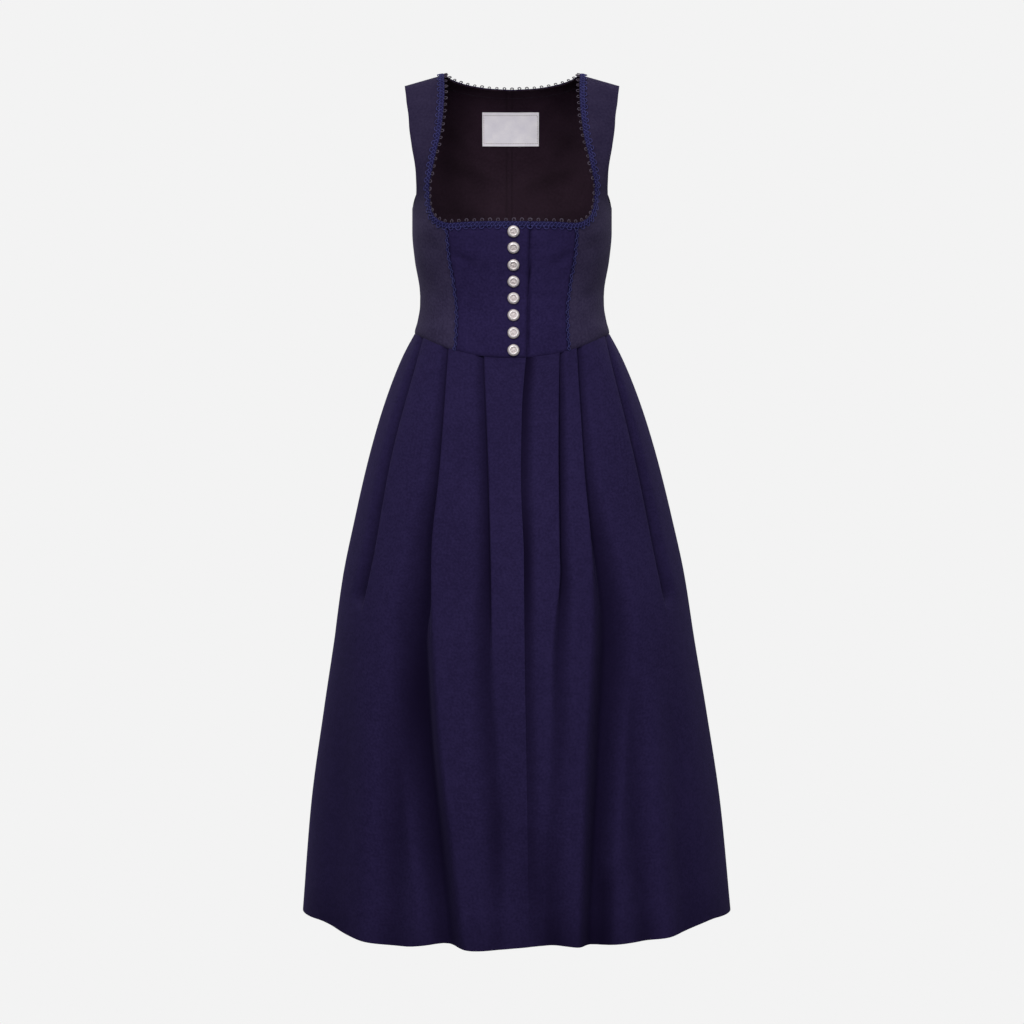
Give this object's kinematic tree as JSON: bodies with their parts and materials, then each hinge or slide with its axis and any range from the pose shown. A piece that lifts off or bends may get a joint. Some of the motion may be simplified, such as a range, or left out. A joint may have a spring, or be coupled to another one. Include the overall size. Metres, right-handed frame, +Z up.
{
  "type": "dirndl",
  "caption": "Long sleeveless dirndl, hollow as worn: square neck with picot braid, princess-seamed buttoned bodice and an ankle-length skirt in knife pleats.",
  "frame": {"origin": "midway between the two shoulder straps, level with the line where they cross the wearer's shoulders", "axes": "+Z up, along the wearer's body; +X to the wearer's left; +Y to the wearer's back, so the buttons face -Y"},
  "size_m": [0.597, 0.45, 1.1858],
  "materials": {
    "wool": "fine matt navy wool",
    "lining": "smooth dark brown lining",
    "braid": "crocheted blue cotton braid",
    "label": "woven satin label",
    "button": "silvered metal in relief"
  },
  "bodies": {
    "root": {"bodice_front_right": "wool", "bodice_front_left": "wool", "bodice_side_front_left": "wool", "bodice_side_front_right": "wool", "bodice_back_left": "wool", "bodice_back_right": "wool", "lining_back_left": "lining", "lining_back_right": "lining", "label": "label", "neck_braid_left": "braid", "neck_braid_right": "braid", "seam_braid_left": "braid", "seam_braid_right": "braid", "button_1": "button", "button_2": "button", "button_3": "button", "button_4": "button", "button_5": "button", "button_6": "button", "button_7": "button", "button_8": "button", "skirt_front_right": "wool", "skirt_front_left": "wool", "skirt_back": "wool"}
  },
  "joints": []
}
